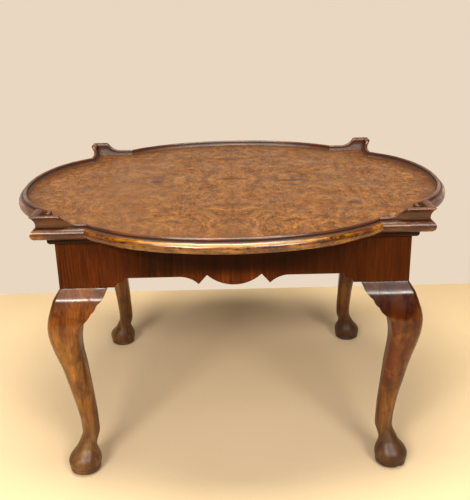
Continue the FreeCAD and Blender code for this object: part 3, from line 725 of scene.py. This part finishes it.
# (half length, distance of the face from the middle) of the long and the short sides
reaches = (half_width, half_depth), (half_depth, half_width)
for quarters, side in enumerate(sides):
    half_length, base = reaches[quarters % 2]
    long_side = side in ("front", "back")
    end = half_length if long_side else half_length - facing_thickness
    along, low = lower_edge(half_length, end, long_side).T[:, :, None]
    # Up the back of the facing, then over the top and down its face to the eased edge.
    climb = low + facing_ease + (tray_under - low - facing_ease) * np.linspace(0, 1, 12)[::-1]
    height = np.hstack([low, np.full_like(low, tray_under), climb, low])
    rear = np.full_like(low, base - facing_thickness)
    eased = np.full_like(low, base - facing_ease)
    out = np.hstack([rear, rear, np.full_like(climb, base), eased])
    along = np.broadcast_to(along, out.shape)
    hand_planed = waves(np.stack([along, height, out], -1), dip_pitch, quarters)
    dip = dip_depth * np.clip(0.5 + 0.5 * hand_planed, 0, 1)
    out = np.where(out > base - facing_ease / 2, out - dip, out)
    points = turned(along, out, height, quarters)
    piece("walnut_facing_" + side, points, upright_walnut, "frame_facing", ["facing_" + side])

# ---- Bed mouldings: small walnut strips planted on the facings tight under the tray,
# with a rounded lower edge, mitred at the corners of the frame.

bed_height, bed_projection, bed_foot, bed_round = 14.0 * mm, 9.5 * mm, 5.5 * mm, 6.3 * mm
bed_low = tray_under - bed_height
bed_shade_start, bed_shade_run = 5 * mm, 9 * mm
bed_wear = 0.2 * mm, 25 * mm
bed_finish = rim_finish(
    "dark_bed_moulding", (52, 23, 8), (36, 14, 4), (22, 8, 2), 7.7, gloss=0.1, smooth=0.3)
bed_profile = section(
    (bed_projection, tray_under),
    (0, tray_under, 4),
    (0, bed_low, 6),
    (bed_foot, bed_low, 4),
    (bed_projection, bed_low + bed_round, 10, -1.1 * mm),
    (bed_projection, tray_under, 8),
)[:-1]
for quarters, side in enumerate(sides):
    half_length, base = reaches[quarters % 2]
    along = np.linspace(-1, 1, 90)[:, None] * (half_length + bed_profile[:, 0])
    out, height = np.broadcast_arrays(*bed_profile.T[:, None, :], along)[:2]
    points = turned(along, base + out, height, quarters)
    # The strip is painted darker towards its lower edge: painted shade under the tray, carried in
    # its hollow mark.
    dirt_and_shade = np.clip((tray_under - bed_shade_start - height) / bed_shade_run, 0, 1) * 0.6
    piece("bed_strip_" + side, worn(points, *bed_wear, 30 + quarters), bed_finish,
          "bed_moulding", ["bed_moulding_" + side],
          hollow=dirt_and_shade, grain=np.stack([along + quarters, out, height], -1))

# ---- Legs: cabriole legs, each sawn and carved from one walnut square, with the post
# left square behind the facings. A hip rolls over under the frame, an arris runs down
# both sides to the ankle, and the round club foot is turned, with two fine rings.

post_inner = 50.0 * mm
pad_height = 4.5 * mm
foot_inset = 9.8 * mm
pad_radius = 21.5 * mm
foot_radius = 29.5 * mm
foot_front = foot_radius - foot_inset
foot_back = foot_radius + foot_inset
foot_height = 22.5 * mm
throat_height = 49.0 * mm
ankle_height = 75.0 * mm
calf_height = 200.0 * mm
knee_height = frame_low - 70 * mm
back_turn_height = frame_low - 66 * mm
bracket_foot_height = frame_low - 40 * mm
foot_rings, ring_size = (8.5 * mm, 13.5 * mm), 0.9 * mm
pad_ease, post_ease = 0.8 * mm, 0.5 * mm
leg_wear = 0.45 * mm, 38 * mm

# (height, distance in from the frame's outer face) of a leg's two faces
front_curve = [
    (pad_height, 2.5 * mm - foot_front), (foot_height, -foot_front),
    (throat_height, 17 * mm - foot_front), (ankle_height, 7.4 * mm), (calf_height, -9 * mm),
    (knee_height, -25.3 * mm), (frame_low - 20 * mm, -12.5 * mm), (frame_low, 0),
]
back_curve = [
    (pad_height, foot_back - 2.5 * mm), (foot_height, foot_back),
    (throat_height, foot_back - 7 * mm), (ankle_height, 38.4 * mm), (calf_height, 31.5 * mm),
    (frame_low - 100 * mm, 26.5 * mm), (back_turn_height, 31.5 * mm),
    (bracket_foot_height, post_inner), (frame_low, post_inner),
]
# (height, radius of the outer, side and inner arrises as shares of the thickness there)
arris_knots = (
    (pad_height, 0.49, 0.49, 0.49), (throat_height, 0.49, 0.47, 0.47),
    (ankle_height, 0.48, 0.46, 0.46), (calf_height, 0.40, 0.42, 0.30),
    (knee_height, 0.30, 0.20, 0.16), (bracket_foot_height, 0.17, 0.003, 0.06),
    (frame_low, 0.05, 0.003, 0.03),
)


def flow(level, knots):
    """Smooth curve through (level, value) knots that doesn't overshoot. Between two
    knots it's a cubic. Its slope at a knot is the harmonic mean of the slopes on both
    sides, or zero where they turn."""
    marks, values = np.array(knots, float).T
    gaps = np.diff(marks)
    slopes = np.diff(values) / gaps
    product = slopes[:-1] * slopes[1:]
    total = slopes[:-1] + slopes[1:]
    inner = np.where(product > 0, 2 * product / np.where(product > 0, total, 1), 0)
    tangent = np.concatenate([slopes[:1], inner, slopes[-1:]])
    i = np.clip(np.searchsorted(marks, level) - 1, 0, len(gaps) - 1)
    t = (level - marks[i]) / gaps[i]
    rise = values[i + 1] - values[i]
    start, finish = tangent[i] * gaps[i], tangent[i + 1] * gaps[i]
    bend, twist = 3 * rise - 2 * start - finish, start + finish - 2 * rise
    return values[i] + start * t + bend * t**2 + twist * t**3


def rounded_square(near, far, outer, side, inner, turn_steps=9, line_steps=6):
    """(u, v) round a square with four rounded corners, for every level at once. Each
    corner is a quarter turn about its own centre, and a line joins it to the next."""
    low, high = near + side, far - side
    corners = (((high, low), side), ((far - inner, far - inner), inner),
               ((low, high), side), ((near + outer, near + outer), outer))
    arcs = []
    for number, ((u, v), radius) in enumerate(corners):
        turn = (number - 1 + np.linspace(0, 1, turn_steps)) * math.pi / 2
        radius = radius[:, None]
        u, v = u[:, None] + radius * np.cos(turn), v[:, None] + radius * np.sin(turn)
        arcs.append(np.stack([u, v], -1))
    loop = []
    share = np.linspace(0, 1, line_steps + 2)[1:-1, None]
    for number, arc in enumerate(arcs):
        following = arcs[(number + 1) % 4][:, :1]
        loop += [arc, arc[:, -1:] + (following - arc[:, -1:]) * share]
    return np.concatenate(loop, 1)


def leg_grid():
    """(u, v, z) of a leg at the front left corner, u and v in from the corner of the
    frame: pad, foot, shaft and post as one run of sections."""
    foot = np.linspace(pad_height, throat_height, 50)
    shaft = np.linspace(throat_height, back_turn_height, 100)[1:]
    hip = np.linspace(back_turn_height, frame_low, 50)[1:]
    z = np.concatenate([foot, shaft, hip])
    near, far = flow(z, front_curve), np.minimum(flow(z, back_curve), post_inner)
    for ring in foot_rings:
        groove = ring_size * hump(z, ring, ring_size)
        near, far = near + groove, far - groove
    levels, *shares = np.array(arris_knots).T
    rounds = [(far - near) * flow(z, np.column_stack([levels, share])) for share in shares]
    full = rounded_square(near, far, *rounds)
    reach = pad_radius - np.array([pad_ease, 0, 0])
    pad = rounded_square(foot_inset - reach, foot_inset + reach, *[reach * 0.98] * 3)
    post = rounded_square(
        np.full(2, facing_thickness), np.full(2, post_inner), *[np.full(2, post_ease)] * 3)
    flat = np.concatenate([pad, full, post])
    z = np.concatenate([[0.0, pad_ease, pad_height], z, [frame_low, tray_under]])
    return np.concatenate([flat, np.broadcast_to(z[:, None, None], (*flat.shape[:2], 1))], -1)


def at_corner(points, left, front):
    """Points drawn at the front left corner, mirrored to any corner."""
    x, y = (half_width - points[..., 0]), (half_depth - points[..., 1])
    return np.stack([-x if left else x, -y if front else y, points[..., 2]], -1)


def leg_finish():
    """Walnut figure through the whole block, so the curves cut across it: lengthwise
    streaks that wander, dark clouds, redder at the knee, golden below it and browner at
    the foot, under a glossy varnish with small chips. The deep mark darkens it."""
    leg = Finish("carved_walnut", gloss=0.38)
    block = leg.object_place
    upright = leg.stretched(block, (1, 1, 0.11))
    bent = leg.swirled(upright, 0.034, 17.0, 2.0)
    figure = leg.cloud(bent, 48.0, 3.0, 0.6)
    streak = leg.cloud(leg.stretched(bent, (1, 1, 0.6)), 300.0, 4.0, 0.6)
    pores = leg.cloud(leg.stretched(block, (1, 1, 0.05)), 1500.0, 2.0)
    clouds = leg.cloud(block, 27.0, 4.0, 0.6)
    height = leg.axes()[2]
    tone = leg.blend(figure, 0.66, streak, 0.34)
    gold, brown, red = (leg.ramp(tone, *zip(levels, colours)) for levels, *colours in (
        ((0.34, 0.46, 0.57, 0.72), (64, 33, 5), (100, 58, 12), (134, 86, 26), (170, 120, 52)),
        ((0.34, 0.47, 0.58, 0.74), (60, 34, 12), (90, 56, 22), (116, 80, 35), (142, 106, 56)),
        ((0.34, 0.47, 0.58, 0.74), (64, 30, 6), (102, 54, 13), (132, 76, 24), (164, 104, 44)),
    ))
    uneven = leg.sum("ADD", height, leg.between(clouds, 0.2, 0.8, -0.035, 0.035))
    colour = leg.mix(leg.between(uneven, 0.135, 0.060), gold, brown)
    colour = leg.mix(leg.between(uneven, 0.235, 0.300), colour, red)
    colour = leg.over(colour, (60, 28, 11), clouds, 0.50, 0.66, 0.65)
    dark = leg.mix(leg.between(tone, 0.40, 0.60), (46, 14, 1), (92, 39, 4))
    dark = leg.over(dark, (40, 12, 1), uneven, 0.23, 0.31, 0.6)
    dark = leg.over(dark, (60, 36, 17), uneven, 0.12, 0.05, 0.9)
    deep = leg.times(leg.mark("deep"), leg.between(clouds, 0.30, 0.62, 0.55, 1.25))
    colour = leg.mix(leg.between(deep, 0.0, 0.85), colour, dark)
    colour = leg.over(colour, (48, 25, 14), pores, 0.58, 0.7, 0.35)
    spots = leg.between(leg.cells(block, 58.0), 0.055, 0.03)
    chips = leg.times(spots, leg.between(leg.cloud(block, 9.0), 0.56, 0.60))
    colour = leg.mix(chips, colour, (214, 186, 148))
    # Dark lines at the two turned rings: painted shade in their grooves.
    for ring in foot_rings:
        off = leg.sum("ABSOLUTE", leg.sum("SUBTRACT", height, ring))
        colour = leg.over(colour, (44, 24, 12), off, 1.3 * mm, 0.5 * mm, 0.7)
    dull = leg.between(uneven, 0.05, 0.26, 0.40, 0.20)
    dull = leg.sum("ADD", dull, leg.between(clouds, 0.4, 0.7, 0.0, 0.08))
    return leg.done(colour, dull, leg.blend(streak, 0.4, leg.cloud(block, 60.0, 2.0)), 0.08 * mm)


carved_walnut = leg_finish()
# (corner, at the left, at the front, how much the deep mark darkens it)
corners = (("front_left", True, True, 0.25), ("front_right", False, True, 0.9),
           ("back_left", True, False, 0.1), ("back_right", False, False, 1.5))
leg_shape = leg_grid()
notch_place, notch_width, notch_height, notch_depth = 16 * mm, 3.4 * mm, 9 * mm, 6 * mm
deep_share = (30, 80, 140, 200), (0.75, 0.3, 0.3, 1.0)  # heights in mm and shares there
for number, (corner, left, front, depth) in enumerate(corners):
    points = worn(leg_shape, *leg_wear, 50 + number)
    points[:3], points[-2:] = leg_shape[:3], leg_shape[-2:]
    u, v, z = np.moveaxis(points, -1, 0)
    if corner == "front_right":
        # A splinter is out of the front of this foot: a narrow notch up from the floor.
        outside = np.clip(-(u + v - 2 * foot_inset) / (20 * mm), 0, 1)
        notch = hump(u - v, notch_place, notch_width) * np.clip(1 - z / notch_height, 0, 1)
        points[..., :2] += (notch * outside * notch_depth)[..., None]
    piece("cabriole_leg_" + corner, at_corner(points, left, front), carved_walnut,
          "leg_walnut", ["leg_" + corner], sharp=40, deep=np.interp(z / mm, *deep_share) * depth)

# ---- Knee brackets: small walnut ears glued to the leg posts under the frame, two to
# a leg. Each carries the hip's curve on to a shaped tip, with two rounds to its
# lower edge and a rubbed arris.

bracket_glue = 0.1 * mm
bracket_thickness = 22.0 * mm
bracket_ease = 0.7 * mm
bracket_edge = section(
    (post_inner + bracket_glue, bracket_foot_height),
    (post_inner + 10 * mm, frame_low - 26.5 * mm, 14, -2.2 * mm),
    (post_inner + 26.5 * mm, frame_low - 6 * mm, 22, -2.2 * mm),
)


def bracket_grid():
    """(u, v, z) of a bracket along u. A row is one section: up the back, then down
    the face, whose distance out is the hip's curve at that height, to an eased edge."""
    reach, low = bracket_edge.T[:, :, None]
    climb = low + bracket_ease + (frame_low - low - bracket_ease) * np.linspace(1, 0, 16)
    z = np.hstack([low, np.full_like(low, frame_low), climb, low])
    back = np.full_like(low, bracket_thickness)
    v = np.hstack([back, back, flow(climb, front_curve), flow(low, front_curve) + bracket_ease])
    return np.stack([np.broadcast_to(reach, z.shape), v, z], -1)


bracket_shape = bracket_grid()
for number, (corner, left, front, depth) in enumerate(corners):
    facing_name = "face" if front else "rear"
    for way, shape in ((facing_name, bracket_shape), ("side", bracket_shape[..., [1, 0, 2]])):
        name = corner + "_" + way
        points = worn(shape, *leg_wear, 50 + number)
        piece("knee_ear_" + name, at_corner(points, left, front), carved_walnut,
              "leg_walnut", ["knee_bracket_" + name], deep=np.full(points.shape[:2], depth))

# ---- Corner blocks, glue blocks and screws: plain blocks fitted round the posts and
# rubbed along the rails, with slotted iron screws up into the core. They come from
# the frame; the blocks are left bare and the screws have gone dull and brown.

block_finish = bare_wood("bare_block", (146, 104, 64), (102, 68, 40), "Y")
coat_nodes(("corner_block", "glue_blocks"), block_finish)


def old_iron():
    """Dull iron with brown rust in patches and fine turning marks."""
    iron = Finish("old_iron", gloss=0.5)
    iron.shader.inputs["Metallic"].default_value = 0.8
    rust = iron.cloud(iron.object_place, 420.0, 4.0, 0.65)
    grit = iron.cloud(iron.object_place, 2600.0, 2.0)
    colour = iron.ramp(rust, (0.40, (96, 92, 88)), (0.54, (92, 66, 48)), (0.68, (70, 42, 27)))
    return iron.done(colour, iron.between(rust, 0.4, 0.65, 0.38, 0.8), grit, 0.05 * mm)


coat_nodes("top_screws", old_iron())

# ---- Floor, light and camera: a plain pale floor, soft lamps in front and overhead,
# a pale backdrop, and a camera a little above the tray.


def floor_paper():
    """Pale paper with a faint fibre and a slightly uneven tone."""
    paper = Finish("pale_floor", gloss=0.2)
    tone = paper.cloud(paper.object_place, 2.2, 3.0)
    fibre = paper.cloud(paper.object_place, 160.0, 3.0)
    colour = paper.ramp(tone, (0.3, (222, 199, 162)), (0.7, (226, 204, 170)))
    colour = paper.over(colour, (212, 184, 136), fibre, 0.45, 0.75, 0.10)
    return paper.done(colour, 0.75, fibre, 0.05 * mm)


floor_side, floor_front, floor_back = 2.4, -2.4, 0.57
floor_mesh = bpy.data.meshes.new("floor")
floor_corners = [(-floor_side, floor_front, 0), (floor_side, floor_front, 0),
                 (floor_side, floor_back, 0), (-floor_side, floor_back, 0)]
floor_mesh.from_pydata(floor_corners, [], [(0, 1, 2, 3)])
floor_mesh.materials.append(floor_paper())
floor = bpy.data.objects.new("floor", floor_mesh)
bpy.context.scene.collection.objects.link(floor)


def soft_lamp(name, place, aim, size, power, colour):
    """Oblong lamp at a place, turned to face the aim and unseen by the camera."""
    light = bpy.data.lights.new(name, "AREA")
    light.shape = "RECTANGLE"
    light.size, light.size_y = size
    light.energy = power
    light.color = colour
    lamp = bpy.data.objects.new(name, light)
    lamp.location = place
    way = np.array(aim) - np.array(place)
    flat = math.hypot(way[0], way[1])
    lamp.rotation_euler = (math.atan2(flat, -way[2]), 0, math.atan2(way[1], way[0]) - math.pi / 2)
    lamp.visible_camera = False
    bpy.context.scene.collection.objects.link(lamp)


front_aim, daylight = (0, -0.27, 0.4), (1.0, 0.95, 0.87)
soft_lamp("left_key", (-1.05, -2.6, 1.86), front_aim, (1.0, 0.22), 62, daylight)
soft_lamp("right_key", (1.05, -2.6, 1.92), front_aim, (1.0, 0.36), 50, daylight)
soft_lamp("front_panel", (0, -2.1, 2.6), (0, -0.2, 0.3), (2.6, 0.9), 14, (1.0, 0.92, 0.80))
soft_lamp("side_lamp", (-1.7, -1.9, 2.2), (0, 0, 0.3), (1.2, 1.2), 5, (1.0, 0.96, 0.91))
soft_lamp("overhead_lamp", (-0.05, -0.36, 2.4), (-0.05, -0.28, 0.4), (1.3, 0.62), 62,
          (1.0, 0.89, 0.68))

# The backdrop looks equally pale on all sides. It lights the table mostly from behind
# and above, and dimly from the front, like a small studio.
world = bpy.data.worlds.new("studio")
world.use_nodes = True
sky, link = world.node_tree.nodes, world.node_tree.links.new
backdrop = sky["Background"]
backdrop.inputs[0].default_value = tint(233, 215, 193)
way, split = sky.new("ShaderNodeTexCoord"), sky.new("ShaderNodeSeparateXYZ")
link(way.outputs["Generated"], split.inputs[0])
strength, seen = sky.new("ShaderNodeMath"), sky.new("ShaderNodeMath")
strength.operation, seen.operation = "MULTIPLY", "MAXIMUM"
# (axis, its low end, its high end, strength at the low end, strength at the high end)
falls = ((1, -0.1, 0.5, 0.09, 1.0), (2, 0.2, 0.8, 1.0, 0.42))
for number, (axis, *limits) in enumerate(falls):
    fall = sky.new("ShaderNodeMapRange")
    link(split.outputs[axis], fall.inputs[0])
    for place, value in enumerate(limits):
        fall.inputs[place + 1].default_value = value
    link(fall.outputs[0], strength.inputs[number])
link(strength.outputs[0], seen.inputs[0])
link(sky.new("ShaderNodeLightPath").outputs["Is Camera Ray"], seen.inputs[1])
link(seen.outputs[0], backdrop.inputs[1])
bpy.context.scene.world = world
bpy.context.scene.view_settings.view_transform = "Standard"

camera_place = (-3.4 * mm, -1338.8 * mm, 814.1 * mm)
camera_pitch, camera_yaw, camera_roll = 0.348, -0.005, -0.021
focal_pixels, tall_pixels = 705.6, 500
camera_data = bpy.data.cameras.new("camera")
camera_data.sensor_width = 36.0
camera_data.lens = focal_pixels / tall_pixels * camera_data.sensor_width
camera = bpy.data.objects.new("camera", camera_data)
bpy.context.scene.collection.objects.link(camera)
turned_camera = Matrix.Translation(camera_place)
for turn, axis in ((camera_yaw, "Z"), (math.pi / 2 - camera_pitch, "X"), (camera_roll, "Z")):
    turned_camera = turned_camera @ Matrix.Rotation(turn, 4, axis)
camera.matrix_world = turned_camera
bpy.context.scene.camera = camera
